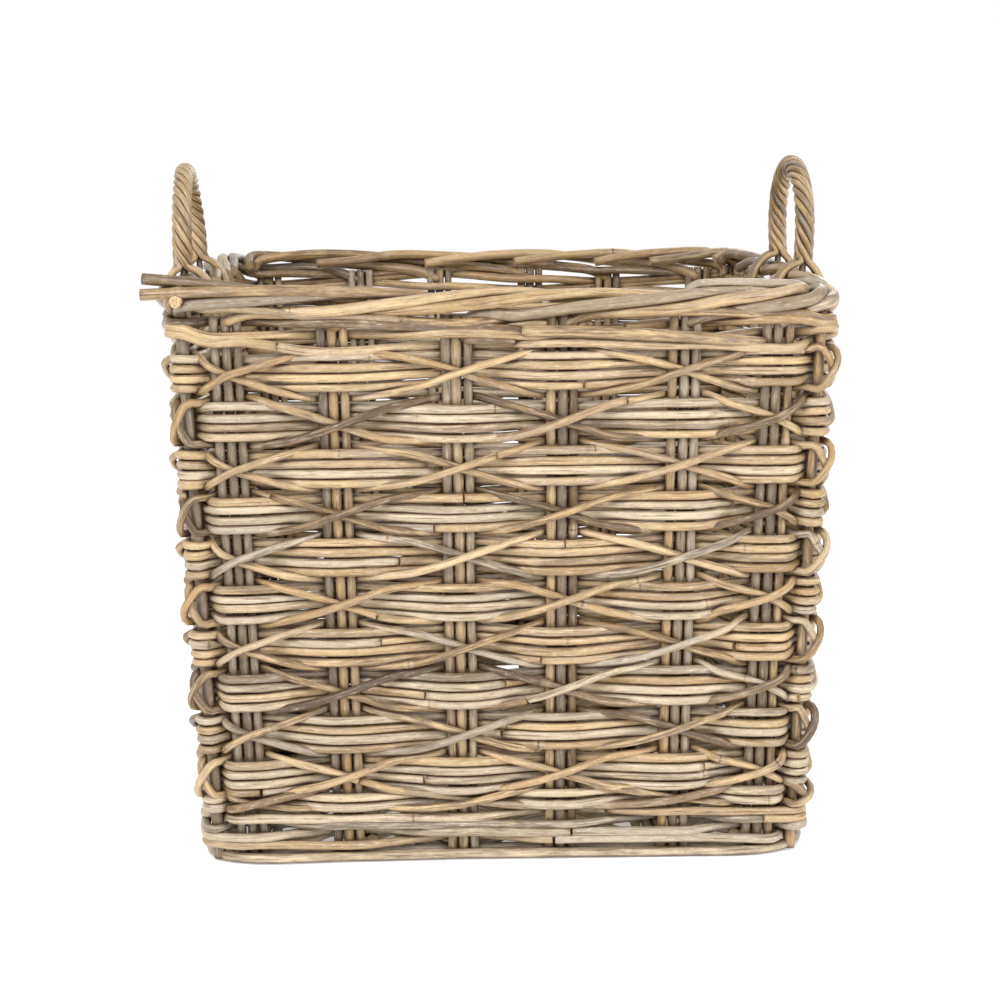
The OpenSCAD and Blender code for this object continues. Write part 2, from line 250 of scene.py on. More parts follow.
def ring_places(length, joints, step):
    """Where a cane's rings go: evenly along it, and closer together at its joints."""
    rings = np.linspace(0, length, max(4, int(length / step)))
    near = (joints[:, None] + JOINT_RINGS).ravel()
    near = near[(near > END_CLEAR) & (near < length - END_CLEAR)]
    clear = np.min(np.abs(rings[:, None] - joints), axis=1) > JOINT_RINGS[-1] + 1 * MM
    clear[[0, -1]] = True
    rings = np.sort(np.concatenate([rings[clear], near]))
    return rings[np.concatenate([[True], np.diff(rings) > CLOSEST_RINGS])]


def across_path(centre):
    """Two directions across a path at each of its points, carried along it without a twist."""
    tangent = np.gradient(centre, axis=0)
    tangent /= np.linalg.norm(tangent, axis=1)[:, None]
    u = np.zeros((len(centre), 3))
    first = np.cross(tangent[0], (0, 0, 1) if abs(tangent[0][2]) < STEEP else (1, 0, 0))
    u[0] = first / np.linalg.norm(first)
    for i in range(1, len(centre)):
        across = u[i - 1] - tangent[i] * (u[i - 1] @ tangent[i])
        u[i] = across / np.linalg.norm(across)
    return u, np.cross(tangent, u)


class Canes:
    """Collects the canes of one piece and turns them into one mesh."""

    def __init__(self, seed):
        self.rng = np.random.default_rng(seed)
        self.points, self.faces, self.caps = [], [], []
        self.tints, self.grains, self.marks = [], [], []
        self.count = 0

    def joints(self, length, spacing):
        """Places of the joints along a cane; one without any gets one far before its start."""
        at, places = self.rng.uniform(FIRST_JOINT, spacing[1]), []
        while at < length - LAST_JOINT:
            places.append(at)
            at += self.rng.uniform(*spacing)
        return np.array(places or [FAR_JOINT])

    def relief(self, rings, away, force, taper):
        """Each ring's share of the cane's radius: a taper, slow waves and the joints."""
        waves = sum(np.sin(rings * f + self.rng.uniform(*ANY_PHASE)) for f in WAVES) / len(WAVES)
        grow = self.rng.choice([-1, 1]) * taper
        swell = (SWELL + SWELL_MORE * force) * np.exp(-((away / SWELL_REACH) ** 2))
        groove = GROOVE * force * (away < GROOVE_HALF)
        return 1 + grow * (rings / rings[-1] - 0.5) + WAVER * waves + swell - groove

    def skin(self, centre, r, angle):
        """Rings of points round a path, the faces between them and a cap at each end."""
        n, sides = len(centre), len(angle)
        u, v = across_path(centre)
        out_of_round = 1 + WAVER * np.cos(2 * angle + self.rng.uniform(*ANY_PHASE))
        spokes = np.cos(angle)[None, :, None] * u[:, None] + np.sin(angle)[None, :, None] * v[:, None]
        reach = (r[:, None] * out_of_round)[:, :, None]
        self.points.append((centre[:, None] + spokes * reach).reshape(-1, 3))
        i, k = np.meshgrid(np.arange(n - 1), np.arange(sides), indexing="ij")
        a = self.count + i * sides + k
        b = self.count + i * sides + (k + 1) % sides
        self.faces.append(np.stack([a, b, b + sides, a + sides], axis=-1).reshape(-1, 4))
        self.caps.append([self.count + j for j in range(sides - 1, -1, -1)])
        self.caps.append([self.count + (n - 1) * sides + j for j in range(sides)])
        self.count += n * sides

    def tones(self, joints, rings, mix, colour):
        """A colour for each ring, with a tone of its own for every length between two joints."""
        rng = self.rng
        main = linear(PALETTE[colour or pick(rng, mix)])
        other = linear(PALETTE[pick(rng, mix)])
        share = np.clip(rng.normal(OTHER_SHARE, OTHER_SPREAD, len(joints) + 1), 0, OTHER_MOST)
        tone = rng.normal(1, TONE_SPREAD, len(joints) + 1)
        part = np.searchsorted(joints, rings)
        return (main * (1 - share[part])[:, None] + other * share[part][:, None]) * tone[part][:, None]

    def add(self, path, radius, mix, taper=0.06, sides=10, step=5 * MM, spacing=(0.12, 0.3),
            bark=0.0, colour=None, stouter=0.0):
        """One round cane along a path, with joints, a slight taper and a tone for each length."""
        s = lengths(path)
        joints = self.joints(s[-1], spacing)
        strength = self.rng.beta(*JOINT_STRENGTH, len(joints))
        rings = ring_places(s[-1], joints, step)
        centre = sample(path, s, rings)
        nearest = np.argmin(np.abs(rings[:, None] - joints), axis=1)
        away = np.abs(rings - joints[nearest])
        force = strength[nearest]
        n = len(rings)

        r = radius * self.relief(rings, away, force, taper)
        r *= 1 + stouter * np.clip((centre[:, 1] + HALF0) / (FRONT_FADE * HALF0), 0, 1)
        angle = np.arange(sides) * 2 * math.pi / sides
        self.skin(centre, r, angle)

        tint = self.tones(joints, rings, mix, colour)
        self.tints.append(np.repeat(np.hstack([tint, np.ones((n, 1))]), sides, axis=0))
        grain = np.empty((n, sides, 3))
        grain[:, :, 0] = (rings + self.rng.uniform(0, GRAIN_SPAN))[:, None]
        grain[:, :, 1] = np.cos(angle) * radius
        grain[:, :, 2] = np.sin(angle) * radius
        self.grains.append(grain.reshape(-1, 3))
        mark = np.stack([np.minimum(away, JOINT_FADE) / JOINT_FADE, force, np.full(n, bark)], axis=1)
        self.marks.append(np.repeat(mark, sides, axis=0))

    def piece(self, name, node, material):
        """Makes the mesh of all the canes so far, in the place of a CAD node."""
        quads = np.vstack(self.faces)
        mesh = bpy.data.meshes.new(name)
        mesh.from_pydata(np.vstack(self.points), [], quads.tolist() + self.caps)
        tint = mesh.color_attributes.new("tint", "FLOAT_COLOR", "POINT")
        tint.data.foreach_set("color", np.vstack(self.tints).astype(np.float32).ravel())
        for label, rows in (("grain", self.grains), ("marks", self.marks)):
            attribute = mesh.attributes.new(label, "FLOAT_VECTOR", "POINT")
            attribute.data.foreach_set("vector", np.vstack(rows).astype(np.float32).ravel())
        kinds = [len(quads), len(self.caps)]
        cut = mesh.attributes.new("cut", "FLOAT", "FACE")
        cut.data.foreach_set("value", np.repeat([0.0, 1.0], kinds).astype(np.float32))
        mesh.polygons.foreach_set("use_smooth", np.repeat([True, False], kinds))
        mesh.materials.append(material)
        mesh.update()
        obj = bpy.data.objects.new(name, mesh)
        bpy.context.scene.collection.objects.link(obj)
        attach(obj, "root")
        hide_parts(node)


# ---- material ----

CREVICE_REACH = 7 * MM          # painted shade in the crevices reaches this close to a neighbouring cane
CREVICE_SAMPLES = 4
CREVICE_STAIN = 0.4             # how ragged the noise of the stains makes that painted shade
WEATHERED = (0.32, 0.27, 0.20, 1)
SKIN_SCUFF = (0.70, 0.64, 0.54, 1)
RUST = (0.33, 0.17, 0.065, 1)
SPECK = (0.06, 0.034, 0.018, 1)
STAIN = (0.10, 0.058, 0.028, 1)
STREAK = (0.15, 0.082, 0.036, 1)
# painted shade: the dark colour laid into the crevices between canes, where the light doesn't reach
CREVICE_SHADE = (0.085, 0.05, 0.026, 1)
BARK = (0.055, 0.034, 0.02, 1)
JOINT_PALE = (0.50, 0.39, 0.24, 1)
JOINT_DARK = (0.045, 0.025, 0.014, 1)
PITH = (0.58, 0.43, 0.23, 1)
PORE = (0.2, 0.12, 0.055, 1)
# noises of the skin: scale along the cane and across it (per metre), detail, roughness
NOISES = {
    "fibre": (24, 1300, 3, 0.65),
    "mottle": (90, 330, 4, 0.65),
    "patch": (7, 60, 2, 0.5),
    "weather": (11, 140, 4, 0.65),
    "rust": (60, 300, 4, 0.7),
    "scuff": (130, 900, 5, 0.7),
    "streak": (22, 620, 4, 0.62),
    "speck": (380, 1000, 2, 0.5),
    "stain": (40, 420, 5, 0.7),
}
# the tone of the skin: a base and what each noise adds to it
SHADE_BASE = -0.22
SHADES = {"fibre": 1.0, "mottle": 0.84, "patch": 0.5}
# marks on the skin in the order of their coats: the noise, where it starts to show and where it is
# full, and its colour; the crevice coat is painted shade, and the shares of scuff and stain are each
# material's own
COATS = (
    ("weather", 0.52, 0.7, WEATHERED),
    ("rust", 0.6, 0.78, RUST),
    ("scuff", 0.53, 0.66, SKIN_SCUFF),
    ("streak", 0.56, 0.64, STREAK),
    ("crevice_shade", 0.40, 0.80, CREVICE_SHADE),
    ("speck", 0.65, 0.72, SPECK),
    ("stain", 0.59, 0.68, STAIN),
)
COAT_SHARES = {"weather": 0.5, "rust": 0.5, "streak": 0.8, "crevice_shade": 0.97, "speck": 0.5}
BARK_SHOWS = (0.42, 0.56)
# marks at a joint: full up to the first distance and gone at the second (mm), then the two shares
JOINT_RAGGED = 3.4              # mm that the mottling moves the edge of a mark
PALE_BAND = (1.5, 6.0, 0.6, 0.0)
DARK_LINE = (0.1, 1.1, 0.9, 0.0)
SMUDGE = (0.8, 9.0, 0.7, 0.0)
# and how they go with the joint's strength or with the noise of the stains
PALE_BY_STRENGTH = (0.0, 0.8, 0.3, 1.0)
LINE_BY_STRENGTH = (0.35, 0.95)
LINE_BY_STAIN = (0.36, 0.52, 0.3, 1.0)
SMUDGE_BY_STAIN = (0.46, 0.56)
PORES = (0.42, 0.6, 0.0, 0.7)   # in a cut end
# roughness and height of the skin, by noise
ROUGH_BASE = -0.3
ROUGH_MOTTLE, ROUGH_SCUFF, ROUGH_CUT = 0.4, 0.2, 0.3
HEIGHTS = {"fibre": 0.6, "mottle": 0.6, "speck": -0.3}
BUMP_STRENGTH, BUMP_DISTANCE = 0.7, 0.4 * MM
COAT_WEIGHT, COAT_ROUGHNESS = 0.18, 0.22


class Graph:
    """Adds shader nodes to one material and links them."""

    def __init__(self, name):
        self.material = bpy.data.materials.new(name)
        self.material.use_nodes = True
        self.tree = self.material.node_tree
        self.shader = self.tree.nodes["Principled BSDF"]

    def put(self, socket, value):
        """Links a socket to another one, or sets its value."""
        if isinstance(value, bpy.types.NodeSocket):
            self.tree.links.new(value, socket)
        else:
            socket.default_value = value

    def attribute(self, name, output):
        node = self.tree.nodes.new("ShaderNodeAttribute")
        node.attribute_name = name
        return node.outputs[output]

    def math(self, operation, a, b=0.0):
        node = self.tree.nodes.new("ShaderNodeMath")
        node.operation = operation
        self.put(node.inputs[0], a)
        self.put(node.inputs[1], b)
        return node.outputs[0]

    def total(self, *terms):
        value = terms[0]
        for term in terms[1:]:
            value = self.math("ADD", value, term)
        return value

    def product(self, *terms):
        value = terms[0]
        for term in terms[1:]:
            value = self.math("MULTIPLY", value, term)
        return value

    def split(self, vector):
        node = self.tree.nodes.new("ShaderNodeSeparateXYZ")
        self.put(node.inputs[0], vector)
        return node.outputs

    def noise(self, vector, along, across, detail, rough):
        """Noise with its own scale along the cane and across it."""
        stretch = self.tree.nodes.new("ShaderNodeVectorMath")
        stretch.operation = "MULTIPLY"
        self.put(stretch.inputs[0], vector)
        stretch.inputs[1].default_value = (along, across, across)
        node = self.tree.nodes.new("ShaderNodeTexNoise")
        node.inputs["Scale"].default_value = 1.0
        node.inputs["Detail"].default_value = detail
        node.inputs["Roughness"].default_value = rough
        self.put(node.inputs["Vector"], stretch.outputs[0])
        return node.outputs["Fac"]

    def ramp(self, value, low, high, to_low=0.0, to_high=1.0):
        """A smooth step from to_low to to_high while the value goes from low to high."""
        node = self.tree.nodes.new("ShaderNodeMapRange")
        node.interpolation_type = "SMOOTHSTEP"
        for socket, v in zip(node.inputs, (value, low, high, to_low, to_high)):
            self.put(socket, v)
        return node.outputs[0]

    def crevice(self):
        """0 in the open, 1 down between canes that touch."""
        node = self.tree.nodes.new("ShaderNodeAmbientOcclusion")
        node.samples = CREVICE_SAMPLES
        node.inputs["Distance"].default_value = CREVICE_REACH
        return self.math("SUBTRACT", 1.0, node.outputs["AO"])

    def mix(self, factor, a, b, blend="MIX"):
        """Colour a, and b blended over it by the factor."""
        node = self.tree.nodes.new("ShaderNodeMix")
        node.data_type = "RGBA"
        node.blend_type = blend
        self.put(node.inputs[0], factor)
        self.put(node.inputs[6], a)
        self.put(node.inputs[7], b)
        return node.outputs[2]

    def grey(self, value):
        node = self.tree.nodes.new("ShaderNodeCombineColor")
        for socket in node.inputs[:3]:
            self.put(socket, value)
        return node.outputs[0]


def skin_colour(g, n, bark, shares):
    """Tone of a cane's skin: fibres and mottling, and over them weathering, scuffs, painted shade down in the
    crevices, stains and bark.
    """
    shade = g.total(SHADE_BASE, *(g.product(n[name], share) for name, share in SHADES.items()))
    colour = g.mix(1.0, g.attribute("tint", "Color"), g.grey(shade), "MULTIPLY")
    for name, low, high, paint in COATS:
        colour = g.mix(g.ramp(n[name], low, high, 0.0, shares[name]), colour, paint)
    return g.mix(g.product(g.ramp(n["stain"], *BARK_SHOWS), bark), colour, BARK)


def joint_colour(g, n, colour, joint, force):
    """A pale band, a smudge and a dark line at every joint."""
    ragged = g.product(g.math("SUBTRACT", n["mottle"], 0.5), JOINT_RAGGED)
    away = g.total(g.product(joint, JOINT_FADE / MM), ragged)
    pale = g.product(g.ramp(away, *PALE_BAND), g.ramp(force, *PALE_BY_STRENGTH))
    smudge = g.product(g.ramp(away, *SMUDGE), g.ramp(n["stain"], *SMUDGE_BY_STAIN), force)
    line = g.product(g.ramp(away, *DARK_LINE), g.ramp(force, *LINE_BY_STRENGTH))
    line = g.product(line, g.ramp(n["stain"], *LINE_BY_STAIN))
    colour = g.mix(pale, colour, JOINT_PALE)
    colour = g.mix(smudge, colour, STAIN)
    return g.mix(line, colour, JOINT_DARK)


def cane_material(name, scuffs, dirt, roughness):
    g = Graph(name)
    grain = g.attribute("grain", "Vector")
    cut = g.attribute("cut", "Fac")
    joint, force, bark = g.split(g.attribute("marks", "Vector"))
    n = {noise: g.noise(grain, *scales) for noise, scales in NOISES.items()}
    # painted shade: ambient occlusion darkens the colour down between canes, and the stain noise makes its
    # edge ragged
    n["crevice_shade"] = g.total(g.crevice(), g.product(n["stain"], CREVICE_STAIN))

    skin = skin_colour(g, n, bark, {**COAT_SHARES, "scuff": scuffs, "stain": dirt})
    skin = joint_colour(g, n, skin, joint, force)
    end_grain = g.mix(g.ramp(n["speck"], *PORES), PITH, PORE)
    g.put(g.shader.inputs["Base Color"], g.mix(cut, skin, end_grain))

    rough = g.total(g.product(n["mottle"], ROUGH_MOTTLE), g.product(n["scuff"], ROUGH_SCUFF))
    rough = g.total(rough, g.product(cut, ROUGH_CUT), roughness + ROUGH_BASE)
    g.put(g.shader.inputs["Roughness"], rough)
    g.shader.inputs["Specular IOR Level"].default_value = 0.5
    g.shader.inputs["Coat Weight"].default_value = COAT_WEIGHT
    g.shader.inputs["Coat Roughness"].default_value = COAT_ROUGHNESS
    bump = g.tree.nodes.new("ShaderNodeBump")
    bump.inputs["Strength"].default_value = BUMP_STRENGTH
    bump.inputs["Distance"].default_value = BUMP_DISTANCE
    g.put(bump.inputs["Height"], g.total(*(g.product(n[name], share) for name, share in HEIGHTS.items())))
    g.put(g.shader.inputs["Normal"], bump.outputs[0])
    return g.material


# ---- the weave ----

TOP_ROW_UP = 4 * MM             # the top band sits this much above its node's middle
# from a row's middle to where its cross canes turn, above the top row and below the last two
LIFT_TOP, LIFT_SQUEEZED, LIFT_BOTTOM = 15.5 * MM, 16.3 * MM, 7.2 * MM
LAST_ROW_CANES = 2
# between the canes of a band (mm): on the front wall before and behind the stakes, and elsewhere
SPREAD_BEFORE, SPREAD_BEHIND, SPREAD_ELSEWHERE = 7.4, 6.9, 8.8
BOW_BEFORE, BOW_BEHIND = 0.9 * MM, -0.4 * MM
STAGGER = 0.6 * MM              # behind the stakes the canes of a band lie at different depths
BAND_SAG, BAND_WANDER, CROSS_WANDER = 0.8 * MM, 0.45 * MM, 0.9 * MM
GREY_FROM = 8                   # the first row of the greyer canes
STOUTER = 0.2                   # behind the front wall the canes are thicker by this share
ROUND_POST = (-45, 0, 45)       # degrees from the corner


def before(place, row):
    """Does the band of this row pass before the stakes at this place?"""
    return (place + row) % 2 == 1


def middle_z(node):
    low, high = box(node)
    return (low[2] + high[2]) / 2


ROW_Z = {row: middle_z(f"weave_row_{row:02d}") for row in range(1, ROWS + 1)}
ROW_Z[1] += TOP_ROW_UP


def lift(row, up):
    """From a row's middle to the gap above it or below it."""
    if up:
        return LIFT_TOP if row == 1 else (ROW_Z[row - 1] - ROW_Z[row]) / 2
    if row == ROWS:
        return LIFT_BOTTOM
    return LIFT_SQUEEZED if row == ROWS - 1 else (ROW_Z[row] - ROW_Z[row + 1]) / 2


def at_group(place, z, offsets):
    """Points of a cane passing a stake group: offsets are (along, out)."""
    side, k = divmod(place, STEPS)
    return [wall_point(side, group_at(side, k, z) + along, out, z) for along, out in offsets]


def at_post(place, z, offsets):
    """Points of a cane passing a corner post: offsets are (angle from the corner, radius)."""
    side = (place // STEPS - 1) % 4
    return [corner_point(side, radius, 45 + angle, z) for angle, radius in offsets]


def past_post(place, z, front, reach):
    """Round the outside of a corner post, or straight behind it."""
    if front:
        return at_post(place, z, [(angle, reach) for angle in ROUND_POST])
    return at_post(place, z, [(0, -reach)])


def spread(place, front):
    """Distance between neighbouring canes of a band (mm)."""
    if place > STEPS:
        return SPREAD_ELSEWHERE
    return SPREAD_BEFORE if front else SPREAD_BEHIND


def band_path(row, rank, wander, sag):
    """One cane of a band: before one group and behind the next."""
    path = []
    for place in range(PLACES):
        front = before(place, row)
        z = ROW_Z[row] + rank * spread(place, front) * MM + sag[place] + wander[place, 0]
        shift = wander[place, 1] + (0 if front else (int(rank * 2) % 4 - 1) * STAGGER)
        if place % STEPS == 0:
            path += past_post(place, z, front, POST_OVER + shift)
        else:
            out = (OVER if front else -OVER) + shift
            bow = BOW_BEFORE if front else BOW_BEHIND
            path += at_group(place, z, [(-FLAT_HALF, out), (0, out + bow), (FLAT_HALF, out)])
    return path


def weave_row(row, material):
    canes = Canes(100 + row)
    rng = canes.rng
    n = LAST_ROW_CANES if row == ROWS else ROW_CANES
    sag = rng.normal(0, BAND_SAG, PLACES)
    mix = WEAVER_MIX if row < GREY_FROM else LOW_MIX
    for j in range(n):
        wander = rng.normal(0, BAND_WANDER, (PLACES, 2))
        path = smooth(band_path(row, j - (n - 1) / 2, wander, sag), closed=True)
        for arc in cut_ring(path, rng, pieces=3):
            canes.add(arc, WEAVER_R * rng.uniform(*WEAVER_SIZE), mix, stouter=STOUTER,
                      bark=rng.choice(WEAVER_BARK))
    canes.piece(f"band_{row:02d}", f"weave_row_{row:02d}", material)


# A cross cane lies flat on a stake group and falls off a little beside it, then hangs clear of
# the wall. Where the band is before the group it dives behind the stakes instead.
LIE_HALF, LIE_FALL = 13 * MM, 0.6 * MM
CLEAR_ALONG, CLEAR_OUT = 37 * MM, 7 * MM
DIVE_ALONG, DIVE_OUT, BEHIND_HALF = 19 * MM, 1 * MM, 10 * MM
POST_REACH = 48 * MM            # beside a corner post it goes from its middle to its top in this length
BEHIND_POST = 0.35              # behind the post it is this many places past its top or bottom
LOOP_ANGLE = 45                 # it bends round a corner post from here to here
LOOP_RISE = 0.62                # and climbs each way as much as in this many places
LOOP_LOOSE = (1, 5)             # mm that the loop stands off the post
CROSS_LAP, LAP_AT_POST = 1.9, 0.6       # the upper cane of a crossing is lifted (radii), less at a post
DARK_BARK = 0.8
# (row, cane, length) of the cross canes with a colour of their own
CROSS_COLOURS = {(2, 0, 0): "brown", (4, 1, 0): "brown", (7, 0, 1): "tan", (9, 0, 0): "brown"}


def is_high(place, row, c):
    """Is cross cane c above the band there, or rising where it is before the stakes?"""
    return ((place + row) // 2 + c) % 2 == 0


def cross_z(place, row, c, dx):
    """Height of cross cane c at dx places past a place: it swings from one gap to the other."""
    level = 1 if is_high(place, row, c) else -1
    swing = math.cos(dx * math.pi / 2) if before(place, row) else math.sin(dx * math.pi / 2)
    return ROW_Z[row] + level * swing * lift(row, level * swing > 0)


def cross_line(place, row, lap):
    """Offsets (along, out) of a cross cane past a stake group."""
    k = place % STEPS
    if before(place, row):
        behind = -SIDE_STAKE_R - CROSS_R
        dive = [(-DIVE_ALONG, DIVE_OUT), (-BEHIND_HALF, behind)]
        return dive + [(-along, out) for along, out in dive[::-1]]
    out = STAKE_R + CROSS_R + lap
    line = [(-LIE_HALF, out - LIE_FALL), (0, out), (LIE_HALF, out - LIE_FALL)]
    if k > 1:
        line.insert(0, (-CLEAR_ALONG, CLEAR_OUT))
    if k < GROUPS:
        line.append((CLEAR_ALONG, CLEAR_OUT))
    return line


def cross_at_group(place, row, c, lap, wander):
    """Points of a cross cane past a stake group."""
    k = place % STEPS
    path = []
    for along, out in cross_line(place, row, lap):
        by_post = k == 1 and along < 0 or k == GROUPS and along > 0
        z = cross_z(place, row, c, along / (POST_REACH if by_post else pitch(ROW_Z[row]))) + wander
        path += at_group(place, z, [(along, out)])
    return path


def cross_at_post(place, row, c, lap, wander, loose):
    """Points of a cross cane straight behind a corner post, or in a loose loop round it."""
    if before(place, row):
        return at_post(place, cross_z(place, row, c, BEHIND_POST) + wander, [(0, -POST_OVER)])
    path = []
    for turn in (-1, -0.5, 0, 0.5, 1):
        radius = POST_OVER + lap + loose * math.cos(turn * math.pi / 2)
        z = cross_z(place, row, c, LOOP_RISE * turn) + wander
        path += at_post(place, z, [(turn * LOOP_ANGLE, radius)])
    return path


def cross_path(row, c, rng):
    wander = rng.normal(0, CROSS_WANDER, PLACES)
    path = []
    for place in range(PLACES):
        lap = CROSS_LAP * CROSS_R if is_high(place, row, c) else 0
        if place % STEPS == 0:
            loose = rng.uniform(*LOOP_LOOSE) * MM
            path += cross_at_post(place, row, c, LAP_AT_POST * lap, wander[place], loose)
        else:
            path += cross_at_group(place, row, c, lap, wander[place])
    return path


def cross_pair(row, material):
    canes = Canes(300 + row)
    rng = canes.rng
    for c in (0, 1):
        ring = smooth(cross_path(row, c, rng), closed=True)
        for n, arc in enumerate(cut_ring(ring, rng, pieces=2)):
            colour = CROSS_COLOURS.get((row, c, n))
            canes.add(arc, CROSS_R * rng.uniform(*CROSS_SIZE), CROSS_MIX, colour=colour, stouter=STOUTER,
                      bark=DARK_BARK if colour == "brown" else rng.choice(CROSS_BARK))
    canes.piece(f"cross_canes_{row:02d}", f"cross_pair_{row:02d}", material)


# ---- uprights ----

UPRIGHT_POINTS = 7
UPRIGHT_WANDER = 0.35 * MM
STAKE_UP = 4 * MM               # the stakes and posts go this much further up into the border


def upright(canes, low, high, radius):
    """A straight cane that wavers a little between its ends."""
    rng = canes.rng
    low, high = np.array(low), np.array(high)
    path = low + (high - low) * np.linspace(0, 1, UPRIGHT_POINTS)[:, None]
    path[1:-1, :2] += rng.normal(0, UPRIGHT_WANDER, (UPRIGHT_POINTS - 2, 2))
    canes.add(smooth(path), radius * rng.uniform(*STAKE_SIZE), STAKE_MIX, taper=0.05, sides=12,
              spacing=(0.14, 0.32), bark=rng.choice(STAKE_BARK))


def stakes(side, material):
    canes = Canes(500 + side)
    for k in range(1, GROUPS + 1):
        for j in (-1, 0, 1):
            ends = [wall_point(side, group_at(side, k, z) + j * STAKE_GAP, 0, z) for z in (Z0, Z1 + STAKE_UP)]
            upright(canes, *ends, STAKE_R if j == 0 else SIDE_STAKE_R)
    name = SIDE_NAMES[side]
    canes.piece(f"uprights_{name}", f"stakes_{name}", material)


def corner_post(side, material):
    canes = Canes(520 + side)
    upright(canes, corner_point(side, 0, 45, Z0), corner_point(side, 0, 45, Z1 + STAKE_UP), POST_R)
    name = CORNER_NAMES[side]
    canes.piece(f"post_{name}", f"corner_post_{name}", material)


# ---- wales ----

WALE_CANES = 4
WALE_SLANT = (3.4, 0.2, -3.4, 0)        # mm: a stroke falls before three places, then goes behind one
WALE_LAP = (1.8, 0.8, 0, 0)             # mm out over the stroke beside it
WALE_STROKE = len(WALE_SLANT)
WALE_WANDER = 0.4                       # mm


def wale(name, node, rise, slope, corner, mix, seed, material):
    """Single canes that each pass before three places and behind one."""
    canes = Canes(seed)
    rng = canes.rng
    low, high = box(node)
    first, last = low[2] + WEAVER_R, high[2] - WEAVER_R
    for j, height in enumerate(np.linspace(first + rise, last + 2 * rise, WALE_CANES)):
        path = []
        for place in range(PLACES):
            phase = (place + j) % WALE_STROKE
            slant = (slope * WALE_SLANT[phase] + rng.normal(0, WALE_WANDER)) * MM
            z = height + slant + corner * corner_rise(place)
            front = phase < WALE_STROKE - 1
            lap = WALE_LAP[phase] * MM
            if place % STEPS == 0:
                path += past_post(place, z, front, POST_OVER + lap)
            else:
                out = OVER + lap if front else -OVER
                path += at_group(place, z, [(-FLAT_HALF, out), (FLAT_HALF, out)])
        for arc in cut_ring(smooth(path, closed=True), rng, pieces=3):
            canes.add(arc, WEAVER_R * rng.uniform(*WALE_SIZE), mix, bark=rng.choice(WALE_BARK))
    canes.piece(name, node, material)


# ---- rolled border ----

# the stroke of a stake: places past its own, outward (mm), below the top of the border (mm)
BORDER_LINE = (
    (0.0, 0, 28), (0.2, 2.5, 21), (0.55, 7, 17.5), (1, 10, 14.2), (1.5, 10.4, 9.6),
    (2, 6.2, 5.4), (2.5, -1.6, 4.7), (3, -9, 7.6), (3.4, -13.5, 12),
)
BORDER_WANDER = 0.7             # mm
BORDER_STRETCH = (0.93, 1.08)   # of a stroke's length
BORDER_SIDES, BORDER_STEP = 14, 4 * MM
FOLDED_R, LOOSE_R = 0.85 * BORDER_R, 0.95 * BORDER_R
BORDER_CORNERS = (24 * MM, 26 * MM, 26 * MM, 8 * MM)    # bend at the end of each wall
FOOT_CORNERS = (30 * MM,) * 4
CORNER_RISE = 8 * MM            # border and upper wale are this much higher at the front left corner
CORNER_RISE_SPAN = 1.4          # places
# a grey cane on top of the front rim that turns back on itself: place, outward and upward (mm)
FOLDED_CANE = (
    (4.95, 4, -16), (5.0, 3, -6), (5.08, -1, -0.5), (5.3, -4, 1), (5.8, -5, 0.5),
    (6.3, -5, -1.5), (6.8, -6, -5), (7.2, -9, -10),
)
# Loose ends on the front wall: along it from its left corner, outward, and up from the top of
# the border, all in mm. Two stick out past the corner and one points forwards. A long one and
# a short burnt one lie on the wale.
LOOSE_CANES = (
    ("brown", ((-24, 6, 9), (0, 7, 7), (35, 6, 3), (70, 2, -3), (110, -4, -9))),
    ("tan", ((-25, 11, -2), (0, 12, -1), (30, 12, 0), (80, 11, 0), (130, 5, -2), (180, -5, -6))),
    ("straw", ((14, -14, -2), (5, 0, -4), (0, 17, -7))),
    ("straw", ((248, 14, -30), (295, 15, -31), (345, 14, -34), (390, 12, -38), (425, 4, -42))),
    ("dark", ((207, 6.5, -35.5), (222, 8, -36), (243, 7, -37.5))),
)


def border_point(place, out, z, corners):
    """A point at a place that needn't be whole; past a wall's end it goes round a bend."""
    place %= PLACES
    side = int(place // STEPS)
    k = place - side * STEPS
    if k >= 1 and STEPS - k >= 1:
        return wall_point(side, group_at(side, k, z), out, z)
    corner = (side - 1) % 4 if k < 1 else side
    angle = math.radians(45 + 45 * k if k < 1 else 45 - 45 * (STEPS - k))
    bend = corners[corner]
    centre = half(z) - bend
    x = centre + (bend + out) * math.sin(angle)
    y = -centre - (bend + out) * math.cos(angle)
    return (*turned(corner, x, y), z)


def corner_rise(place):
    """How much higher a place near the front left corner is."""
    past = (place + PLACES / 2) % PLACES - PLACES / 2
    return CORNER_RISE * math.exp(-((past / CORNER_RISE_SPAN) ** 2))


def border_stroke(place, rng):
    """The line of one stake laid over from its own place."""
    wander = rng.normal(0, BORDER_WANDER, (len(BORDER_LINE), 2))
    stretch = rng.uniform(*BORDER_STRETCH)
    path = []
    for (u, out, down), (dx, dz) in zip(BORDER_LINE, wander):
        at = place + u * stretch
        z = RIM_Z - (down + dz) * MM + corner_rise(at)
        path.append(border_point(at, (out + dx) * MM, z, BORDER_CORNERS))
    return smooth(path)


def loose_ends(canes):
    """The folded cane and the cut ends on the front of the border."""
    fold = [border_point(at, out * MM, RIM_Z + up * MM, BORDER_CORNERS) for at, out, up in FOLDED_CANE]
    canes.add(smooth(fold), FOLDED_R, BORDER_MIX, sides=BORDER_SIDES, step=BORDER_STEP,
              colour="silver")
    for colour, line in LOOSE_CANES:
        path = [wall_point(0, along * MM - HALF1, out * MM, RIM_Z + up * MM) for along, out, up in line]
        canes.add(smooth(path), LOOSE_R, BORDER_MIX, sides=BORDER_SIDES, step=BORDER_STEP,
                  colour=colour, spacing=(0.03, 0.12), bark=0.5)


